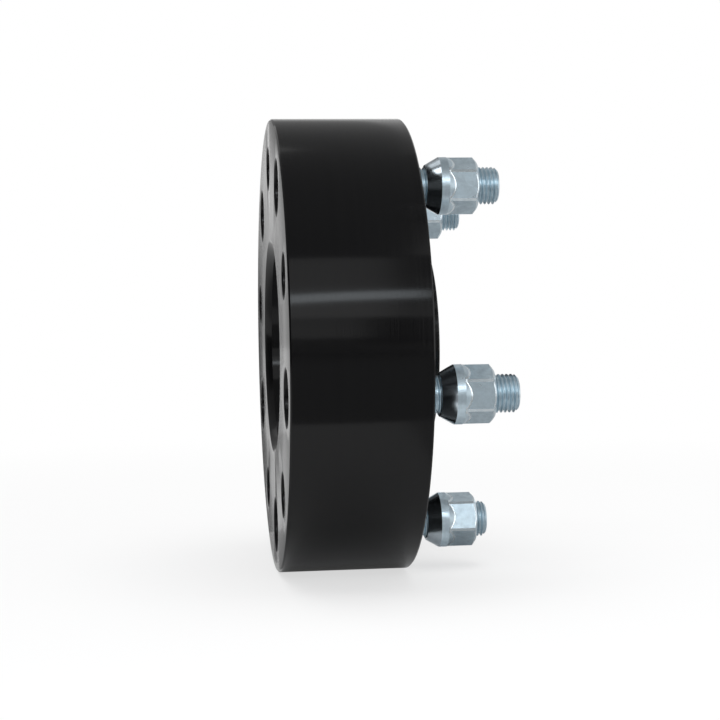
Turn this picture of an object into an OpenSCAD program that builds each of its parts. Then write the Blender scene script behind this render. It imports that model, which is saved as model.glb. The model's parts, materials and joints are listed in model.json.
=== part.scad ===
// Bolt-on wheel spacer for a hub with five studs.
// A thick turned ring sits on the hub and is held by the hub's own studs and nuts, which
// reach their seats through five deep pockets. Five headed studs pressed into the ring
// then carry the wheel, each with an open-ended lug nut screwed part of the way on.
// The hub face lies in the XZ plane at the origin, and the wheel side is along +Y.

/* [Ring] */
// Thickness from the hub face to the wheel face
ring_t = 50; // [46:0.5:70]
// Metal left between a nut pocket and the rim
rim_wall = 3.15; // [2:0.05:12]
// Chamfer on the two edges of the rim
rim_chamfer = 0.6; // [0.3:0.1:1.4]

/* [Centre] */
// Diameter of the recess that centres the ring on the hub
hub_recess_d = 77.9; // [74:0.1:86]
// Depth of that recess from the hub face
hub_recess_depth = 15; // [8:0.5:25]
// Lead-in chamfer at the mouth of the recess
recess_chamfer = 2.7; // [1:0.1:4]
// Outside diameter of the lip that centres the wheel
lip_d = 77.8; // [74:0.1:86]
// Height of the lip above the wheel face
lip_h = 10; // [5:0.5:14]
// Lead-in chamfer at the end of the lip
lip_chamfer = 0.5; // [0.3:0.1:2]
// Wall of the lip, from its outside to the through bore
lip_wall = 4.9; // [4:0.1:8]
// Chamfer at the wheel end of the through bore
through_chamfer = 0.8; // [0.3:0.1:1.2]

/* [Bolt circle] */
// Diameter of the circle on which all the holes lie
bolt_circle_d = 139.7; // [134:0.1:150]
// Clock angle of the first hole for a hub stud, from the top
first_hole_clock = -3.9; // [-36:0.1:36]
// Small chamfer at the mouth of every hole
hole_chamfer = 0.5; // [0.2:0.1:0.8]

/* [Hub stud holes] */
// Diameter of the hole that a hub stud passes through
hub_hole_d = 16.5; // [14:0.1:18]
// Metal between the hub face and the floor of the nut pocket
seat_plate = 24; // [20:0.5:30]
// Diameter of the cone seat where it meets the pocket floor
seat_mouth_d = 24; // [22:0.5:27]
// Diameter of the nut pocket
pocket_d = 30; // [28:0.5:34]

/* [Wheel studs] */
// Outside diameter of the stud thread
thread_d = 13.8; // [12:0.1:14.2]
// Diameter of the pressed shank
shank_d = 14.7; // [14.4:0.1:16]
// Length of the pressed shank
shank_len = 14; // [8:0.5:18]
// Diameter of the stud head
head_d = 20; // [18:0.5:24]
// Thickness of the stud head
head_t = 5; // [3:0.5:8]
// Chamfer round the stud head
head_chamfer = 0.8; // [0.3:0.1:1.2]
// Length of stud that stands out of the wheel face
stud_out = 32.6; // [24:0.2:44]
// Chamfer at the tip of the stud
tip_chamfer = 1.2; // [0.5:0.1:2]
// Metal left between the stud head and the wheel face
stud_web = 20; // [18.5:0.5:26]
// Radial gap round the pressed shank
press_gap = 0.02; // [0.01:0.01:0.05]
// Radial gap round the stud head in its counterbore
head_gap = 0.5; // [0.2:0.1:1]

/* [Lug nuts] */
// Width of the hex across its flats
nut_af = 18.8; // [18:0.1:19.4]
// Length of the nut from end to end
nut_len = 19.2; // [18:0.1:24]
// Diameter to which the corners of the hex are trimmed
hex_corner_d = 21.1; // [20.4:0.1:22]
// Diameter of the collar
collar_d = 21.4; // [20.8:0.1:22.5]
// Length of the collar between the cone and the hex
collar_len = 3; // [2:0.1:4]
// Diameter of the narrow end of the cone
cone_tip_d = 15.7; // [14.6:0.1:16]
// Full angle of the cone seat, on the nut and in the ring
cone_angle = 60; // [55:1:70]
// Chamfer round the outer end of the hex
nut_chamfer = 1; // [0.5:0.1:1.4]
// Chamfer at both ends of the threaded bore
nut_bore_chamfer = 0.3; // [0.1:0.05:0.35]
// Radial gap between the nut and the stud thread
thread_gap = 0.05; // [0.02:0.01:0.15]
// Gap from the wheel face to the first nut
nut_1_gap = 5.3; // [0.5:0.1:12]
// Gap from the wheel face to the second nut
nut_2_gap = 4.4; // [0.5:0.1:12]
// Gap from the wheel face to the third nut
nut_3_gap = 9; // [0.5:0.1:12]
// Gap from the wheel face to the fourth nut
nut_4_gap = 5; // [0.5:0.1:12]
// Gap from the wheel face to the fifth nut
nut_5_gap = 5.9; // [0.5:0.1:12]
// Turn of the first nut on its stud
nut_1_turn = 2.5; // [-30:0.5:30]
// Turn of the second nut on its stud
nut_2_turn = 0.5; // [-30:0.5:30]
// Turn of the third nut on its stud
nut_3_turn = -14; // [-30:0.5:30]
// Turn of the fourth nut on its stud
nut_4_turn = 0; // [-30:0.5:30]
// Turn of the fifth nut on its stud
nut_5_turn = -10.5; // [-30:0.5:30]

/* [Hidden] */
$fn = 96;
HEX_SIDES = 6;
STUD_COUNT = 5;
nut_gaps = [nut_1_gap, nut_2_gap, nut_3_gap, nut_4_gap, nut_5_gap];
nut_turns = [nut_1_turn, nut_2_turn, nut_3_turn, nut_4_turn, nut_5_turn];
// How far each cutting shape runs past the face that it opens through
overrun = 1;
stud_step = 360 / STUD_COUNT;
first_stud_clock = first_hole_clock + stud_step / 2;
bolt_circle_r = bolt_circle_d / 2;
pocket_r = pocket_d / 2;
ring_r = bolt_circle_r + pocket_r + rim_wall;
hub_recess_r = hub_recess_d / 2;
lip_r = lip_d / 2;
through_r = lip_r - lip_wall;
lip_end = ring_t + lip_h;
hub_hole_r = hub_hole_d / 2;
seat_mouth_r = seat_mouth_d / 2;
cone_slope = tan(cone_angle / 2);
seat_depth = (seat_mouth_r - hub_hole_r) / cone_slope;
counterbore_r = head_d / 2 + head_gap;
counterbore_depth = ring_t - stud_web;
press_hole_r = shank_d / 2 + press_gap;
thread_r = thread_d / 2;
nut_bore_r = thread_r + thread_gap;
collar_r = collar_d / 2;
hex_corner_r = hex_corner_d / 2;
cone_tip_r = cone_tip_d / 2;
cone_len = (collar_r - cone_tip_r) / cone_slope;
collar_end = cone_len + collar_len;
// The collar runs out onto the flats at the angle of the cone seat
runout_r = nut_bore_r + (nut_af / 2 - nut_bore_r) / 2;
runout_len = (collar_r - runout_r) / cone_slope;

// Turns a shape modelled along +Z so that it points along +Y
module to_wheel_side() {
    rotate([-90, 0, 0]) children();
}

// Moves a shape to its clock angle on the bolt circle
module at_clock(clock) {
    translate([bolt_circle_r * sin(clock), -bolt_circle_r * cos(clock), 0]) children();
}

// The turned blank, with the stepped bore and the centring lip
module ring_blank() {
    rotate_extrude()
        polygon([
            [hub_recess_r + recess_chamfer, 0],
            [ring_r - rim_chamfer, 0],
            [ring_r, rim_chamfer],
            [ring_r, ring_t - rim_chamfer],
            [ring_r - rim_chamfer, ring_t],
            [lip_r, ring_t],
            [lip_r, lip_end - lip_chamfer],
            [lip_r - lip_chamfer, lip_end],
            [through_r + through_chamfer, lip_end],
            [through_r, lip_end - through_chamfer],
            [through_r, hub_recess_depth],
            [hub_recess_r, hub_recess_depth],
            [hub_recess_r, recess_chamfer]
        ]);
}

// Way through the ring for a hub stud: hole, cone seat and nut pocket
module hub_stud_way() {
    rotate_extrude()
        polygon([
            [0, -overrun],
            [hub_hole_r + hole_chamfer + overrun, -overrun],
            [hub_hole_r, hole_chamfer],
            [hub_hole_r, seat_plate - seat_depth],
            [seat_mouth_r, seat_plate],
            [pocket_r, seat_plate],
            [pocket_r, ring_t - hole_chamfer],
            [pocket_r + hole_chamfer + overrun, ring_t + overrun],
            [0, ring_t + overrun]
        ]);
}

// Way through the ring for a wheel stud: head counterbore and pressed hole
module wheel_stud_way() {
    rotate_extrude()
        polygon([
            [0, -overrun],
            [counterbore_r + hole_chamfer + overrun, -overrun],
            [counterbore_r, hole_chamfer],
            [counterbore_r, counterbore_depth],
            [press_hole_r, counterbore_depth],
            [press_hole_r, ring_t - hole_chamfer],
            [press_hole_r + hole_chamfer + overrun, ring_t + overrun],
            [0, ring_t + overrun]
        ]);
}

// The aluminium ring, black anodised
module spacer_body() {
    color("#1c1d20")
        to_wheel_side()
            difference() {
                ring_blank();
                for (i = [0 : STUD_COUNT - 1]) {
                    at_clock(first_hole_clock + i * stud_step) hub_stud_way();
                    at_clock(first_stud_clock + i * stud_step) wheel_stud_way();
                }
            }
}

// One headed stud, its head drawn up against the floor of the counterbore
module wheel_stud(i) {
    head_r = head_d / 2;
    shank_r = shank_d / 2;
    head_face = counterbore_depth - head_t;
    tip = ring_t + stud_out;
    color("#b4bdc6")
        to_wheel_side()
            at_clock(first_stud_clock + i * stud_step)
                rotate_extrude()
                    polygon([
                        [0, head_face],
                        [head_r - head_chamfer, head_face],
                        [head_r, head_face + head_chamfer],
                        [head_r, counterbore_depth],
                        [shank_r, counterbore_depth],
                        [shank_r, counterbore_depth + shank_len],
                        [thread_r, counterbore_depth + shank_len + shank_r - thread_r],
                        [thread_r, tip - tip_chamfer],
                        [thread_r - tip_chamfer, tip],
                        [0, tip]
                    ]);
}

// The cone, the collar and the run-out of the collar onto the flats
module nut_nose() {
    rotate_extrude()
        polygon([
            [0, 0],
            [cone_tip_r, 0],
            [collar_r, cone_len],
            [collar_r, collar_end],
            [runout_r, collar_end + runout_len],
            [0, collar_end + runout_len]
        ]);
}

// The hex, with its corners trimmed round and its outer end chamfered
module nut_hex() {
    sharp_corner_r = nut_af / 2 / cos(180 / HEX_SIDES);
    intersection() {
        translate([0, 0, cone_len])
            rotate([0, 0, 180 / HEX_SIDES])
                linear_extrude(height = nut_len - cone_len)
                    circle(r = sharp_corner_r, $fn = HEX_SIDES);
        rotate_extrude()
            polygon([
                [0, 0],
                [hex_corner_r, 0],
                [hex_corner_r, nut_len - nut_chamfer],
                [hex_corner_r - nut_chamfer, nut_len],
                [0, nut_len]
            ]);
    }
}

// The threaded bore, opened by a chamfer at each end
module nut_bore() {
    rotate_extrude()
        polygon([
            [0, -overrun],
            [nut_bore_r + nut_bore_chamfer + overrun, -overrun],
            [nut_bore_r, nut_bore_chamfer],
            [nut_bore_r, nut_len - nut_bore_chamfer],
            [nut_bore_r + nut_bore_chamfer + overrun, nut_len + overrun],
            [0, nut_len + overrun]
        ]);
}

// One lug nut, screwed on to its own gap from the wheel face
module lug_nut(i) {
    color("#c2cad2")
        to_wheel_side()
            at_clock(first_stud_clock + i * stud_step)
                translate([0, 0, ring_t + nut_gaps[i]])
                    rotate([0, 0, nut_turns[i]])
                        difference() {
                            union() {
                                nut_nose();
                                nut_hex();
                            }
                            nut_bore();
                        }
}

spacer_body();
wheel_stud(0);  // wheel_stud_1
wheel_stud(1);  // wheel_stud_2
wheel_stud(2);  // wheel_stud_3
wheel_stud(3);  // wheel_stud_4
wheel_stud(4);  // wheel_stud_5
lug_nut(0);  // lug_nut_1
lug_nut(1);  // lug_nut_2
lug_nut(2);  // lug_nut_3
lug_nut(3);  // lug_nut_4
lug_nut(4);  // lug_nut_5
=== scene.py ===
import json
import math

import bmesh
import bpy
from mathutils import Matrix, Vector


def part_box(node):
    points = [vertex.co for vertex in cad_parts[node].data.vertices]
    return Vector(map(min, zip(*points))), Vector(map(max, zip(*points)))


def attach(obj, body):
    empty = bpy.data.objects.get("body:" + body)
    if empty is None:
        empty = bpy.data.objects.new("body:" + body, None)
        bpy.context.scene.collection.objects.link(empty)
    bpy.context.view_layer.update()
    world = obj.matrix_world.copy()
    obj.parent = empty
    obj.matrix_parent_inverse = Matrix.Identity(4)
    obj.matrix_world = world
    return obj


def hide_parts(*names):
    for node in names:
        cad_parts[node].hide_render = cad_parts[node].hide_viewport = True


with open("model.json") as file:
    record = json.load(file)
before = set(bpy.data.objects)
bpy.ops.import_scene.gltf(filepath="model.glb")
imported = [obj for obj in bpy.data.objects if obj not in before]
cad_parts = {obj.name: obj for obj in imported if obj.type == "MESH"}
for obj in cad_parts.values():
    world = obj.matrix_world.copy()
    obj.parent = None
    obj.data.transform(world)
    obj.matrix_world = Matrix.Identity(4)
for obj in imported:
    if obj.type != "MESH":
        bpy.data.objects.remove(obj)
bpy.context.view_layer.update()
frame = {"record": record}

# Spacer ring. A slice of forged aluminium bar, turned all over on a lathe, drilled and pocketed
# from both faces, then anodised black. It goes over the hub's own studs, and its ten holes
# alternate: five let the hub studs and their nuts in, five carry the pressed wheel studs.
MM = 0.001
MERGE_GAP = 0.002 * MM
mounts = {mount["name"]: mount for mount in frame["record"]["mounts"]}


def mount_size(name, size):
    """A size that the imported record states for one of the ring's mounts, in metres."""
    return mounts[name]["dims"][size] * MM


ring_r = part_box("spacer_body")[1].x
lip_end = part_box("spacer_body")[1].y
ring_t = mounts["wheel_face"]["pos_m"][1]
rim_chamfer = 0.6 * MM
recess_r = mount_size("hub_bore", "r_mm")
recess_depth = 15 * MM
recess_chamfer = 2.7 * MM
through_r = mount_size("centre_bore", "r_mm")
through_chamfer = 0.8 * MM
lip_r = mount_size("wheel_pilot", "r_mm")
lip_chamfer = 0.5 * MM
bolt_circle_r = mount_size("hub_stud_holes", "pcd_mm") / 2
hole_count = mounts["hub_stud_holes"]["dims"]["count"]
hub_hole_r = mount_size("hub_stud_holes", "hole_r_mm")
pocket_r = mount_size("nut_pockets", "hole_r_mm")
seat_plate = 24 * MM
seat_mouth_r = 12 * MM
seat_half_angle = 30
cone_slope = math.tan(math.radians(seat_half_angle))
hole_chamfer = 0.5 * MM
first_hole_clock = -3.9
hole_step = 360 / hole_count
counterbore_r = 10.5 * MM
counterbore_depth = 30 * MM
press_hole_r = 7.37 * MM
drill_overrun = 1 * MM
ring_sides = 288
drill_sides = 96
ring_edge = 0.12 * MM
smooth_under = 25


def turned(name, outline, sides):
    """Lathe work about the Y axis: a half outline of (radius, along) points is drawn and spun round."""
    bpy.ops.object.select_all(action="DESELECT")
    bpy.ops.mesh.primitive_plane_add(size=MM)
    piece = bpy.context.object
    piece.name = piece.data.name = name
    bpy.ops.object.mode_set(mode="EDIT")
    bpy.ops.mesh.merge(type="CENTER")
    bpy.ops.transform.translate(value=(*outline[0], 0))
    for (from_r, from_y), (to_r, to_y) in zip(outline, outline[1:]):
        step = (to_r - from_r, to_y - from_y, 0)
        bpy.ops.mesh.extrude_region_move(TRANSFORM_OT_translate={"value": step})
    bpy.ops.mesh.select_all(action="SELECT")
    bpy.ops.mesh.spin(steps=sides, angle=2 * math.pi, center=(0, 0, 0), axis=(0, 1, 0))
    bpy.ops.mesh.select_all(action="SELECT")
    bpy.ops.mesh.remove_doubles(threshold=MERGE_GAP)
    bpy.ops.mesh.normals_make_consistent(inside=False)
    bpy.ops.object.mode_set(mode="OBJECT")
    return piece


def pick(piece):
    """Makes one piece the only one that the next operator works on."""
    bpy.ops.object.select_all(action="DESELECT")
    bpy.context.view_layer.objects.active = piece
    piece.select_set(True)


def copy_at(piece, name, place, turn=0):
    """A copy with a mesh of its own, turned about its axis and moved, with that place in the mesh."""
    copy = piece.copy()
    copy.data = piece.data.copy()
    copy.name = copy.data.name = name
    bpy.context.collection.objects.link(copy)
    copy.data.transform(Matrix.Translation(place) @ Matrix.Rotation(math.radians(turn), 4, "Y"))
    return copy


def combine(piece, tool, operation):
    """Cuts a tool out of a piece, joins it on or keeps what they share, and takes the tool away."""
    pick(piece)
    step = piece.modifiers.new(operation, "BOOLEAN")
    step.operation = operation
    step.solver = "EXACT"
    step.object = tool
    bpy.ops.object.modifier_apply(modifier=step.name)
    bpy.data.objects.remove(tool)


def weld(piece):
    """Joins points closer than the merge gap, so that a cut leaves no slivers."""
    pick(piece)
    bpy.ops.object.mode_set(mode="EDIT")
    bpy.ops.mesh.select_all(action="SELECT")
    bpy.ops.mesh.remove_doubles(threshold=MERGE_GAP)
    bpy.ops.mesh.dissolve_degenerate(threshold=MERGE_GAP)
    bpy.ops.object.mode_set(mode="OBJECT")


def break_edges(piece, width, segments, sharper_than, edge_highlight_slot=-1):
    """Rounds each edge sharper than an angle, as deburring leaves it, and smooths the rest."""
    pick(piece)
    step = piece.modifiers.new("broken_edges", "BEVEL")
    step.width = width
    step.segments = segments
    step.limit_method = "ANGLE"
    step.angle_limit = math.radians(sharper_than)
    # On the nuts the rounded faces take a finish whose lighter tint is a painted highlight.
    step.material = edge_highlight_slot
    bpy.ops.object.modifier_apply(modifier=step.name)
    bpy.ops.object.shade_smooth_by_angle(angle=math.radians(sharper_than))


def on_bolt_circle(clock):
    """The place on the bolt circle at a clock angle, from the top."""
    angle = math.radians(clock)
    return Vector((bolt_circle_r * math.sin(angle), 0, bolt_circle_r * math.cos(angle)))


ring_outline = [
    (recess_r + recess_chamfer, 0),
    (ring_r - rim_chamfer, 0),
    (ring_r, rim_chamfer),
    (ring_r, ring_t - rim_chamfer),
    (ring_r - rim_chamfer, ring_t),
    (lip_r, ring_t),
    (lip_r, lip_end - lip_chamfer),
    (lip_r - lip_chamfer, lip_end),
    (through_r + through_chamfer, lip_end),
    (through_r, lip_end - through_chamfer),
    (through_r, recess_depth),
    (recess_r, recess_depth),
    (recess_r, recess_chamfer),
]
ring = turned("spacer_ring", ring_outline + ring_outline[:1], ring_sides)

hub_stud_drill = turned(
    "hub_stud_drill",
    [
        (0, -drill_overrun),
        (hub_hole_r + hole_chamfer + drill_overrun, -drill_overrun),
        (hub_hole_r, hole_chamfer),
        (hub_hole_r, seat_plate - (seat_mouth_r - hub_hole_r) / cone_slope),
        (seat_mouth_r, seat_plate),
        (pocket_r, seat_plate),
        (pocket_r, ring_t - hole_chamfer),
        (pocket_r + hole_chamfer + drill_overrun, ring_t + drill_overrun),
        (0, ring_t + drill_overrun),
    ],
    drill_sides,
)
wheel_stud_drill = turned(
    "wheel_stud_drill",
    [
        (0, -drill_overrun),
        (counterbore_r + hole_chamfer + drill_overrun, -drill_overrun),
        (counterbore_r, hole_chamfer),
        (counterbore_r, counterbore_depth),
        (press_hole_r, counterbore_depth),
        (press_hole_r, ring_t - hole_chamfer),
        (press_hole_r + hole_chamfer + drill_overrun, ring_t + drill_overrun),
        (0, ring_t + drill_overrun),
    ],
    drill_sides,
)
for i in range(hole_count):
    hub_clock = first_hole_clock + i * hole_step
    stud_clock = hub_clock + hole_step / 2
    combine(ring, copy_at(hub_stud_drill, "drill", on_bolt_circle(hub_clock)), "DIFFERENCE")
    combine(ring, copy_at(wheel_stud_drill, "drill", on_bolt_circle(stud_clock)), "DIFFERENCE")
for drill in (hub_stud_drill, wheel_stud_drill):
    bpy.data.objects.remove(drill)
break_edges(ring, ring_edge, segments=2, sharper_than=smooth_under)


def new_material(name):
    """A new material, with its node tree and its shader."""
    material = bpy.data.materials.new(name)
    material.use_nodes = True
    tree = material.node_tree
    shader = tree.nodes["Principled BSDF"]
    return material, tree, shader


def add_node(tree, kind, settings=None, **inputs):
    """Adds a node, sets its properties, and sets or links its inputs by name or as in_NUMBER."""
    node = tree.nodes.new(kind)
    for key, value in (settings or {}).items():
        setattr(node, key, value)
    for key, value in inputs.items():
        numbered = key.startswith("in_")
        socket = node.inputs[int(key[3:]) if numbered else key.replace("_", " ")]
        if isinstance(value, bpy.types.NodeSocket):
            tree.links.new(value, socket)
        else:
            socket.default_value = value
    return node


# The tool leaves fine lines round the axis, on the rim and on the faces alike.
feed_line_scale = 2600
feed_line_depth = 0.01 * MM
feed_line_strength = 0.25
feed_line_range = (0.35, 0.65)
cut_band_scale = 320
deep_black = (0.0022, 0.0022, 0.0025, 1)
pale_black = (0.0032, 0.0032, 0.0035, 1)
sheen_range = (0.10, 0.21)
anodise_ior = 1.3
lathe_stretch = 0.85
quarter_turn = 0.25

anodise, tree, shader = new_material("black_anodise")
place = add_node(tree, "ShaderNodeTexCoord").outputs["Object"]
axes = add_node(tree, "ShaderNodeSeparateXYZ", Vector=place)
flat_place = add_node(tree, "ShaderNodeCombineXYZ", X=axes.outputs["X"], Z=axes.outputs["Z"])
radius = add_node(
    tree, "ShaderNodeVectorMath", {"operation": "LENGTH"}, in_0=flat_place.outputs["Vector"]
)
along = add_node(
    tree, "ShaderNodeMath", {"operation": "ADD"}, in_0=radius.outputs["Value"], in_1=axes.outputs["Y"]
)
feed_lines = add_node(
    tree, "ShaderNodeTexNoise", {"noise_dimensions": "1D"},
    W=along.outputs["Value"], Scale=feed_line_scale, Detail=4.0, Roughness=0.7,
)
cut_bands = add_node(
    tree, "ShaderNodeTexNoise", {"noise_dimensions": "1D"},
    W=along.outputs["Value"], Scale=cut_band_scale, Detail=2.0, Roughness=0.5,
)
colour = add_node(
    tree, "ShaderNodeMix", {"data_type": "RGBA"},
    in_0=cut_bands.outputs["Fac"], in_6=deep_black, in_7=pale_black,
)
sheen = add_node(
    tree, "ShaderNodeMapRange",
    Value=feed_lines.outputs["Fac"], From_Min=feed_line_range[0], From_Max=feed_line_range[1],
    To_Min=sheen_range[0], To_Max=sheen_range[1],
)
marks = add_node(
    tree, "ShaderNodeBump",
    Height=feed_lines.outputs["Fac"], Strength=feed_line_strength, Distance=feed_line_depth,
)
lathe_direction = add_node(tree, "ShaderNodeTangent", {"direction_type": "RADIAL", "axis": "Y"})
tree.links.new(colour.outputs[2], shader.inputs["Base Color"])
tree.links.new(sheen.outputs["Result"], shader.inputs["Roughness"])
tree.links.new(marks.outputs["Normal"], shader.inputs["Normal"])
tree.links.new(lathe_direction.outputs["Tangent"], shader.inputs["Tangent"])
shader.inputs["IOR"].default_value = anodise_ior
shader.inputs["Anisotropic"].default_value = lathe_stretch
shader.inputs["Anisotropic Rotation"].default_value = quarter_turn

ring.data.materials.clear()
ring.data.materials.append(anodise)
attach(ring, "root")
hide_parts("spacer_body")

# Wheel studs. Forged steel with a round head, a plain shank that is pressed in from the hub side
# and a rolled fine thread, plated in bright blue-white zinc. The head bears on the floor of its
# counterbore, and the threaded end stands out of the wheel face.
stud_names = [f"wheel_stud_{i + 1}" for i in range(hole_count)]
stud_boxes = [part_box(name) for name in stud_names]
stud_low, stud_high = stud_boxes[0]
stud_len = stud_high.y - stud_low.y
head_r = (stud_high.x - stud_low.x) / 2
head_t = 5 * MM
head_chamfer = 0.8 * MM
shank_r = 7.35 * MM
shank_end = head_t + 14 * MM
thread_r = 6.9 * MM
tip_chamfer = 1.2 * MM
pitch = 1.5 * MM
thread_depth = 0.6134 * pitch
crest_flat = pitch / 8
root_flat = pitch / 4
groove_overrun = 0.1 * MM
flank_angle = 30
turn_steps = 64

stud = turned(
    "stud_blank",
    [
        (0, 0),
        (head_r - head_chamfer, 0),
        (head_r, head_chamfer),
        (head_r, head_t),
        (shank_r, head_t),
        (shank_r, shank_end),
        (thread_r, shank_end + shank_r - thread_r),
        (thread_r, stud_len - tip_chamfer),
        (thread_r - tip_chamfer, stud_len),
        (0, stud_len),
    ],
    turn_steps,
)

# The thread is one long groove: its section is swept round and along by a screw and cut out.
groove_start = shank_end + pitch
groove_turns = math.ceil((stud_len - groove_start) / pitch) + 1
flank_slope = math.tan(math.radians(flank_angle))
mouth_half = (pitch - crest_flat) / 2 + groove_overrun * flank_slope
bpy.ops.object.select_all(action="DESELECT")
bpy.ops.mesh.primitive_plane_add(size=1)
groove = bpy.context.object
section = [
    (thread_r - thread_depth, -root_flat / 2),
    (thread_r + groove_overrun, -mouth_half),
    (thread_r - thread_depth, root_flat / 2),
    (thread_r + groove_overrun, mouth_half),
]
for vertex, (r, y) in zip(groove.data.vertices, section):
    vertex.co = (r, groove_start + y, 0)
bpy.ops.object.mode_set(mode="EDIT")
bpy.ops.mesh.select_all(action="SELECT")
bpy.ops.mesh.delete(type="ONLY_FACE")
bpy.ops.object.mode_set(mode="OBJECT")
sweep = groove.modifiers.new("sweep", "SCREW")
sweep.axis = "Y"
sweep.screw_offset = pitch
sweep.iterations = groove_turns
sweep.steps = turn_steps
sweep.render_steps = turn_steps
bpy.ops.object.modifier_apply(modifier=sweep.name)
bpy.ops.object.mode_set(mode="EDIT")
bpy.ops.mesh.select_all(action="SELECT")
bpy.ops.mesh.remove_doubles(threshold=MERGE_GAP)
bpy.ops.mesh.fill_holes(sides=len(section))
bpy.ops.mesh.select_all(action="SELECT")
bpy.ops.mesh.normals_make_consistent(inside=False)
bpy.ops.object.mode_set(mode="OBJECT")
combine(stud, groove, "DIFFERENCE")
weld(stud)
bpy.ops.object.shade_smooth_by_angle(angle=math.radians(smooth_under))


cloud_range = (0.3, 0.7)
ripple_strength = 0.4


def zinc_plating():
    """Bright zinc on steel: cloudy in tint and gloss, with a faint ripple, as the bath leaves it."""
    group = bpy.data.node_groups.new("zinc_plating", "ShaderNodeTree")
    for name, kind in (
        ("Dull tint", "NodeSocketColor"),
        ("Bright tint", "NodeSocketColor"),
        ("Dull roughness", "NodeSocketFloat"),
        ("Bright roughness", "NodeSocketFloat"),
        ("Cloud scale", "NodeSocketFloat"),
    ):
        group.interface.new_socket(name, in_out="INPUT", socket_type=kind)
    for name, kind in (
        ("Tint", "NodeSocketColor"),
        ("Roughness", "NodeSocketFloat"),
        ("Ripple", "NodeSocketFloat"),
    ):
        group.interface.new_socket(name, in_out="OUTPUT", socket_type=kind)
    given = add_node(group, "NodeGroupInput").outputs
    place = add_node(group, "ShaderNodeTexCoord").outputs["Object"]
    cloud = add_node(
        group, "ShaderNodeTexNoise", Vector=place, Scale=given["Cloud scale"], Detail=4.0, Roughness=0.6
    ).outputs["Fac"]
    spread = add_node(
        group, "ShaderNodeMapRange", Value=cloud, From_Min=cloud_range[0], From_Max=cloud_range[1]
    ).outputs["Result"]
    tint = add_node(
        group, "ShaderNodeMix", {"data_type": "RGBA"},
        in_0=spread, in_6=given["Dull tint"], in_7=given["Bright tint"],
    )
    gloss = add_node(
        group, "ShaderNodeMapRange",
        Value=spread, To_Min=given["Dull roughness"], To_Max=given["Bright roughness"],
    )
    add_node(
        group, "NodeGroupOutput", Tint=tint.outputs[2], Roughness=gloss.outputs["Result"], Ripple=cloud
    )
    return group


plating = zinc_plating()


def plated(name, dull, bright, roughness, cloud_scale, ripple_depth=0):
    """A zinc finish: its two tints, its roughness from dull to bright, and how deep its ripple is."""
    material, tree, shader = new_material(name)
    skin = add_node(
        tree, "ShaderNodeGroup", {"node_tree": plating},
        Dull_tint=(*dull, 1), Bright_tint=(*bright, 1), Cloud_scale=cloud_scale,
        Dull_roughness=roughness[0], Bright_roughness=roughness[1],
    )
    tree.links.new(skin.outputs["Tint"], shader.inputs["Base Color"])
    tree.links.new(skin.outputs["Roughness"], shader.inputs["Roughness"])
    shader.inputs["Metallic"].default_value = 1.0
    if ripple_depth:
        ripple = add_node(
            tree, "ShaderNodeBump",
            Height=skin.outputs["Ripple"], Strength=ripple_strength, Distance=ripple_depth,
        )
        tree.links.new(ripple.outputs["Normal"], shader.inputs["Normal"])
    return material


stud.data.materials.clear()
stud.data.materials.append(
    plated(
        "stud_zinc",
        dull=(0.50, 0.62, 0.69),
        bright=(0.70, 0.82, 0.89),
        roughness=(0.46, 0.32),
        cloud_scale=420,
    )
)

for name, (low, high) in zip(stud_names, stud_boxes):
    centre = (low + high) / 2
    piece = copy_at(stud, name.replace("wheel_", "threaded_"), (centre.x, low.y, centre.z))
    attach(piece, "root")
    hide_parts(name)
bpy.data.objects.remove(stud)

# Lug nuts. Cold-forged steel hex nuts with a cone seat and a round collar, open at the outer end,
# turned at the nose and plated in bright zinc. Each is screwed part of the way on to its stud.
nut_names = [f"lug_nut_{i + 1}" for i in range(hole_count)]
nut_turns = (2.5, 0.5, -14, 0, -10.5)
nut_af = 18.8 * MM
nut_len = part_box(nut_names[0])[1].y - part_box(nut_names[0])[0].y
hex_corner_r = 10.55 * MM
collar_r = 10.7 * MM
collar_len = 3 * MM
cone_tip_r = 7.85 * MM
nut_bore_r = 6.95 * MM
nut_bore_chamfer = 0.3 * MM
nut_end_r = 8.9 * MM
shoulder_len = 1.2 * MM
cone_len = (collar_r - cone_tip_r) / cone_slope
collar_end = cone_len + collar_len
runout_r = (nut_bore_r + nut_af / 2) / 2
runout_end = collar_end + (collar_r - runout_r) / cone_slope
flat_fillet = 0.42 * MM
fillet_segments = 4
nut_edge = 0.25 * MM
nut_smooth_under = 15
edge_margin = 0.15 * MM
hex_sides = 6
nut_sides = 96

bpy.ops.object.select_all(action="DESELECT")
bpy.ops.mesh.primitive_cylinder_add(
    vertices=hex_sides,
    radius=nut_af / 2 / math.cos(math.pi / hex_sides),
    depth=nut_len - cone_len,
    location=(0, (nut_len + cone_len) / 2, 0),
    rotation=(math.radians(90), 0, 0),
)
nut = bpy.context.object
nut.name = nut.data.name = "nut_blank"
bpy.ops.object.transform_apply(location=True, rotation=True, scale=True)
trim = turned(
    "hex_trim",
    [
        (0, 0),
        (hex_corner_r, 0),
        (hex_corner_r, nut_len - shoulder_len),
        (nut_end_r, nut_len),
        (0, nut_len),
    ],
    nut_sides,
)
combine(nut, trim, "INTERSECT")

# Behind the collar a cone runs out on to the flats.
nose = turned(
    "nut_nose",
    [
        (0, 0),
        (cone_tip_r, 0),
        (collar_r, cone_len),
        (collar_r, collar_end),
        (runout_r, runout_end),
        (0, runout_end),
    ],
    nut_sides,
)
combine(nut, nose, "UNION")
bore = turned(
    "nut_bore",
    [
        (0, -drill_overrun),
        (nut_bore_r + nut_bore_chamfer + drill_overrun, -drill_overrun),
        (nut_bore_r, nut_bore_chamfer),
        (nut_bore_r, nut_len - nut_bore_chamfer),
        (nut_bore_r + nut_bore_chamfer + drill_overrun, nut_len + drill_overrun),
        (0, nut_len + drill_overrun),
    ],
    nut_sides,
)
combine(nut, bore, "DIFFERENCE")
weld(nut)

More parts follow.
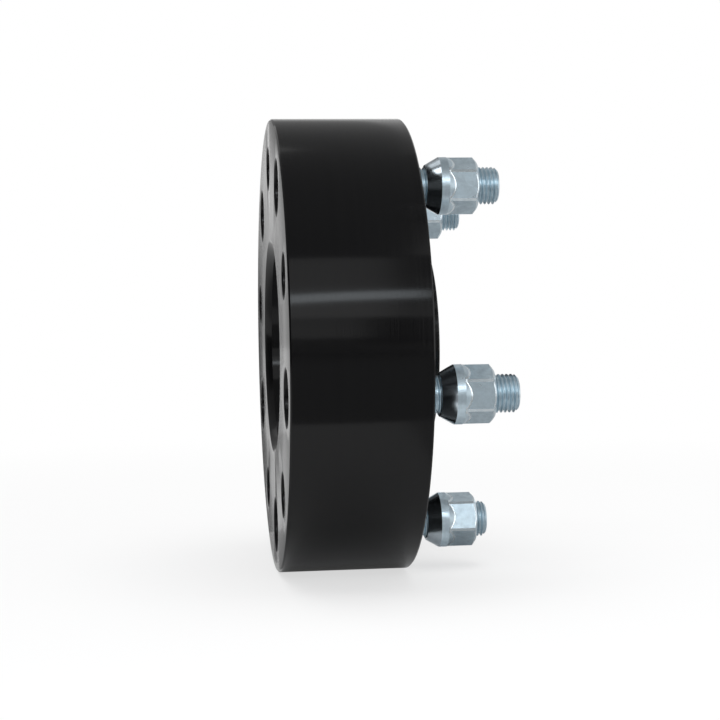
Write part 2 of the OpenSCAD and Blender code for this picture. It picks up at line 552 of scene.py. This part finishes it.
FORGED, TURNED, EDGE = range(3)
nut.data.materials.clear()
nut.data.materials.append(
    plated(
        "nut_forged_zinc",
        dull=(0.52, 0.63, 0.70),
        bright=(0.68, 0.81, 0.89),
        roughness=(0.40, 0.27),
        cloud_scale=420,
        ripple_depth=0.14 * MM,
    )
)
nut.data.materials.append(
    plated(
        "nut_turned_zinc",
        dull=(0.50, 0.57, 0.62),
        bright=(0.62, 0.70, 0.76),
        roughness=(0.20, 0.12),
        cloud_scale=300,
    )
)
# The edge finish is partly real, smoother zinc, and partly a painted highlight: its lighter tint draws
# bright lines along the edges and hex corners.
nut.data.materials.append(
    plated(
        "nut_edge_zinc",
        dull=(0.68, 0.78, 0.84),
        bright=(0.86, 0.94, 0.98),
        roughness=(0.24, 0.16),
        cloud_scale=600,
    )
)
# The hex corner bands take the edge finish and its painted highlight.
for face in nut.data.polygons:
    along = face.center.y
    out = math.hypot(face.center.x, face.center.z)
    corner_highlight_band = collar_end < along < nut_len - shoulder_len and out > hex_corner_r - edge_margin
    if along < cone_len or out < nut_bore_r + nut_bore_chamfer:
        face.material_index = TURNED
    elif corner_highlight_band:
        face.material_index = EDGE
    else:
        face.material_index = FORGED

# Both ends of each flat, at the run-out and at the outer chamfer, are filleted as the forging die
# leaves them. Their edges are told by how far the two faces lean along the axis.
flat_lean = 0.05
runout_lean = (0.3, 0.7)
shoulder_lean = (0.2, 0.99)
pick(nut)
bpy.ops.object.mode_set(mode="EDIT")
bpy.ops.mesh.select_mode(type="EDGE")
bpy.ops.mesh.select_all(action="DESELECT")
shape = bmesh.from_edit_mesh(nut.data)
for edge in shape.edges:
    leans = sorted(face.normal.y for face in edge.link_faces)
    middle = (edge.verts[0].co + edge.verts[1].co) / 2
    out = math.hypot(middle.x, middle.z)
    by_runout = collar_end + edge_margin < middle.y < runout_end
    by_shoulder = middle.y > nut_len - shoulder_len and out < hex_corner_r - edge_margin
    at_runout = by_runout and runout_lean[0] < leans[-1] < runout_lean[1]
    at_shoulder = by_shoulder and shoulder_lean[0] < leans[-1] < shoulder_lean[1]
    edge.select = abs(leans[0]) < flat_lean and (at_runout or at_shoulder)
bmesh.update_edit_mesh(nut.data)
# The fillets, and below them all the rounded edges, take the edge finish with its painted highlight.
bpy.ops.mesh.bevel(offset=flat_fillet, segments=fillet_segments, clamp_overlap=False, material=EDGE)
bpy.ops.object.mode_set(mode="OBJECT")
break_edges(nut, nut_edge, segments=3, sharper_than=nut_smooth_under, edge_highlight_slot=EDGE)
weld(nut)

# Large faces lead the shading, so that the flats look flat, and the nose's rounded edges keep its turned
# finish instead of the painted highlight.
even_shade = nut.modifiers.new("even_shade", "WEIGHTED_NORMAL")
even_shade.keep_sharp = True
bpy.ops.object.modifier_apply(modifier=even_shade.name)
for face in nut.data.polygons:
    if face.material_index == EDGE and face.center.y < cone_len + collar_len / 2:
        face.material_index = TURNED

for name, turn in zip(nut_names, nut_turns):
    low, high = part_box(name)
    centre = (low + high) / 2
    piece = copy_at(nut, name.replace("lug_", "hex_"), (centre.x, low.y, centre.z), turn)
    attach(piece, "root")
    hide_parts(name)
bpy.data.objects.remove(nut)

# Studio. A white paper floor under the rim and a white surround, soft lamps on the camera's side,
# and dark felt cards round about that only reflections see, so that the black rim and the bright
# zinc both keep their shapes. A tilted strip lamp draws the band along the rim.
scene = bpy.context.scene
scene.view_settings.view_transform = "Standard"
floor_z = -ring_r
floor_r = 4
floor_sides = 96
paper_white = (0.8, 0.8, 0.8, 1)
matt = 0.9
shadow_keep = 0.35
shadow_reach = (0.15, 0.7)
near_glow = 0.07
ambient = 0.5
bpy.ops.object.select_all(action="DESELECT")
bpy.ops.mesh.primitive_circle_add(
    vertices=floor_sides, radius=floor_r, fill_type="NGON", location=(0, 0, floor_z)
)
floor = bpy.context.object
floor.name = floor.data.name = "floor"
paper, tree, shader = new_material("white_paper")
shader.inputs["Base Color"].default_value = paper_white
shader.inputs["Roughness"].default_value = matt
shader.inputs["Specular IOR Level"].default_value = 0


def reflected_rays(tree, rays):
    """Is 1 on the rays that show the studio in gloss or through glass, and 0 on others."""
    either = add_node(
        tree, "ShaderNodeMath", {"operation": "MAXIMUM"},
        in_0=rays.outputs["Is Glossy Ray"], in_1=rays.outputs["Is Transmission Ray"],
    )
    return either.outputs["Value"]


rays = add_node(tree, "ShaderNodeLightPath")
place = add_node(tree, "ShaderNodeTexCoord").outputs["Object"]
reach = add_node(tree, "ShaderNodeVectorMath", {"operation": "LENGTH"}, in_0=place)
far = add_node(
    tree, "ShaderNodeMapRange", {"interpolation_type": "SMOOTHSTEP"},
    Value=reach.outputs["Value"], From_Min=shadow_reach[0], From_Max=shadow_reach[1],
)
to_camera = add_node(tree, "ShaderNodeMapRange", Value=far.outputs["Result"], To_Min=1 - shadow_keep)
to_gloss = add_node(tree, "ShaderNodeMapRange", Value=far.outputs["Result"], To_Min=near_glow)
reflected = add_node(
    tree, "ShaderNodeMath", {"operation": "MULTIPLY"},
    in_0=to_gloss.outputs["Result"], in_1=reflected_rays(tree, rays),
)
glow_share = add_node(
    tree, "ShaderNodeMix",
    in_0=rays.outputs["Is Camera Ray"], in_2=reflected.outputs["Value"], in_3=to_camera.outputs["Result"],
)
white = (1, 1, 1, 1)
glow = add_node(tree, "ShaderNodeEmission", Color=white)
mixed = add_node(
    tree, "ShaderNodeMixShader",
    in_0=glow_share.outputs[0], in_1=shader.outputs["BSDF"], in_2=glow.outputs["Emission"],
)
tree.links.new(mixed.outputs["Shader"], tree.nodes["Material Output"].inputs["Surface"])
floor.data.materials.append(paper)

world = bpy.data.worlds.new("studio")
scene.world = world
world.use_nodes = True
tree = world.node_tree
tree.nodes.clear()
rays = add_node(tree, "ShaderNodeLightPath")
view = add_node(tree, "ShaderNodeTexCoord").outputs["Generated"]
way = add_node(tree, "ShaderNodeSeparateXYZ", Vector=view)


def fall(axis, start, end, low, high=1.0):
    """Falls smoothly to a low level as one part of the direction goes from start to end."""
    step = add_node(
        tree, "ShaderNodeMapRange", {"interpolation_type": "SMOOTHSTEP"},
        Value=way.outputs[axis], From_Min=start, From_Max=end, To_Min=high, To_Max=low,
    )
    return step.outputs["Result"]


def height(elevation):
    """How far up a direction points, from its angle above the horizon."""
    return math.sin(math.radians(elevation))


# Reflections see a room that darkens upwards, and a darker end beyond the hub face.
room = fall("Z", start=height(5), end=height(28), low=0.3)
far_end = fall("Z", start=height(4.5), end=height(8), low=0.3, high=0.69)
beside = add_node(
    tree, "ShaderNodeMath", {"operation": "MAXIMUM"},
    in_0=fall("X", start=0.3, end=0, low=0), in_1=fall("Y", start=-0.02, end=-0.06, low=0),
)
reflection = add_node(tree, "ShaderNodeMix", in_0=beside.outputs["Value"], in_2=far_end, in_3=room)
soft = add_node(
    tree, "ShaderNodeMix", in_0=reflected_rays(tree, rays), in_2=ambient, in_3=reflection.outputs[0]
)
strength = add_node(
    tree, "ShaderNodeMix", in_0=rays.outputs["Is Camera Ray"], in_2=soft.outputs[0], in_3=1.0
)
surround = add_node(tree, "ShaderNodeBackground", Color=white, Strength=strength.outputs[0])
add_node(tree, "ShaderNodeOutputWorld", Surface=surround.outputs["Background"])


def lamp(name, place, aim, size, power):
    """A soft rectangular lamp that looks at a point."""
    light = bpy.data.lights.new(name, "AREA")
    light.shape = "RECTANGLE"
    light.size, light.size_y = size
    light.energy = power
    holder = bpy.data.objects.new(name, light)
    holder.location = place
    holder.rotation_euler = (Vector(aim) - Vector(place)).to_track_quat("-Z", "Y").to_euler()
    holder.visible_camera = False
    bpy.context.collection.objects.link(holder)
    return holder


def camera_side(distance, elevation, swing=0):
    """A point on the camera's side of the ring, at a rise and a swing towards the nuts, in degrees."""
    rise = math.radians(elevation)
    side = math.radians(swing)
    level = distance * math.cos(rise)
    return Vector((level * math.cos(side), ring_t / 2 + level * math.sin(side), distance * math.sin(rise)))


# The softbox and the strip stand off towards the hub side, so that the nuts don't catch them.
ring_middle = Vector((0, ring_t / 2, 0))
lamp_shift = Vector((0, -0.29, 0))
band_aim = ring_middle + lamp_shift
strip_tilt = 4
strip_tint = (0.86, 0.94, 1.0)
overhead = lamp("overhead", place=(0.1, 0.0, 1.3), aim=(0, 0, 0), size=(1.2, 1.2), power=12)
overhead.visible_glossy = False
lamp("softbox", place=camera_side(1.3, 28) + lamp_shift, aim=band_aim, size=(1.2, 0.66), power=2.0)
strip = lamp(
    "strip", place=camera_side(0.81, 21.4) + lamp_shift, aim=band_aim, size=(1.2, 0.052), power=1.1
)
strip.rotation_euler.rotate_axis("Z", math.radians(strip_tilt))
strip.data.color = strip_tint

# White cards are lamps too: they lift the nuts' flats, the hub face and the top of the rim.
lamp("side_card", place=camera_side(1.2, 12, 38), aim=ring_middle, size=(0.35, 0.78), power=1.3)
lamp("top_card", place=(-0.42, -0.34, 1.1), aim=ring_middle, size=(0.55, 0.45), power=0.5)
lamp("back_card", place=(-0.86, -0.45, 0.72), aim=ring_middle, size=(0.5, 0.5), power=0.35)
lamp("nut_card", place=(-0.3, 0.30, 0.32), aim=(-0.3, 0.30, 0), size=(0.5, 0.36), power=0.14)
lamp("corner_card", place=(0.22, 0.30, 0.28), aim=(0.22, 0.30, 0), size=(0.2, 0.28), power=0.14)
lamp("left_card", place=(0.31, -0.71, 1.01), aim=ring_middle, size=(0.4, 0.4), power=1.0)


def dark_card(name, low, high, shade, fade=0):
    """A dark felt card that only reflections see. It lies or stands, and may thin out at its top."""
    felt, tree, shader = new_material(name + "_felt")
    shader.inputs["Base Color"].default_value = (shade, shade, shade, 1)
    shader.inputs["Roughness"].default_value = matt
    shader.inputs["Specular IOR Level"].default_value = 0
    bpy.ops.object.select_all(action="DESELECT")
    bpy.ops.mesh.primitive_plane_add(size=1)
    card = bpy.context.object
    card.name = card.data.name = name
    lies_flat = low[2] == high[2]
    for i, vertex in enumerate(card.data.vertices):
        across, up = (low, high)[i % 2], (low, high)[i // 2]
        vertex.co = (across[0], up[1] if lies_flat else across[1], up[2])
    if fade:
        place = add_node(tree, "ShaderNodeTexCoord").outputs["Object"]
        up = add_node(tree, "ShaderNodeSeparateXYZ", Vector=place).outputs["Z"]
        thin = add_node(
            tree, "ShaderNodeMapRange", {"interpolation_type": "SMOOTHSTEP"},
            Value=up, From_Min=high[2] - fade, From_Max=high[2],
        )
        clear = add_node(tree, "ShaderNodeBsdfTransparent")
        thinned = add_node(
            tree, "ShaderNodeMixShader",
            in_0=thin.outputs["Result"], in_1=shader.outputs["BSDF"], in_2=clear.outputs["BSDF"],
        )
        tree.links.new(thinned.outputs["Shader"], tree.nodes["Material Output"].inputs["Surface"])
    card.data.materials.append(felt)
    card.visible_camera = False
    card.visible_diffuse = False
    card.visible_shadow = False


mat_z = floor_z + 1 * MM
dark_card("front_mat", low=(0.165, -1.2, mat_z), high=(1.6, 1.2, mat_z), shade=0.28)
dark_card("front_card", low=(1.6, -1.2, mat_z), high=(1.6, 1.2, 0.12), shade=0.42)
dark_card("nut_stand", low=(1.15, 0.185, 0.03), high=(1.15, 0.6, 0.28), shade=0.12)
dark_card("nut_flag", low=(0.1, 0.07, 0.095), high=(0.1, 0.14, 0.15), shade=0.6)
dark_card("side_mat", low=(-0.6, 0.07, mat_z), high=(0.165, 1.2, mat_z), shade=0.44)
dark_card("back_mat", low=(-0.7, -0.4, mat_z), high=(-0.1, -0.01, mat_z), shade=0.68)
dark_card("near_mat", low=(-0.1, -0.3, mat_z), high=(0.06, -0.001, mat_z), shade=0.42)
dark_card("edge_card", low=(-0.1, -0.006, mat_z), high=(-0.1, 0, 0.075), shade=0.25, fade=0.06)
dark_card("left_stand", low=(-0.15, -0.8, mat_z), high=(0.5, -0.8, 0.4), shade=0.03)

# The camera looks at the rim from the side, a little round towards the hub face and close to level.
camera_data = bpy.data.cameras.new("camera")
camera_data.lens = 81.3
camera_data.clip_start = 0.01
camera = bpy.data.objects.new("camera", camera_data)
bpy.context.collection.objects.link(camera)
camera_place = Vector((0.6365, -0.0435, 0.0130))
camera_forward = Vector((-0.99210, 0.12183, -0.02990))
camera_up = Vector((-0.02768, 0.01983, 0.99942))
camera_right = camera_forward.cross(camera_up)
camera.matrix_world = Matrix.Translation(camera_place) @ Matrix(
    (camera_right, camera_up, -camera_forward)
).transposed().to_4x4()
scene.camera = camera
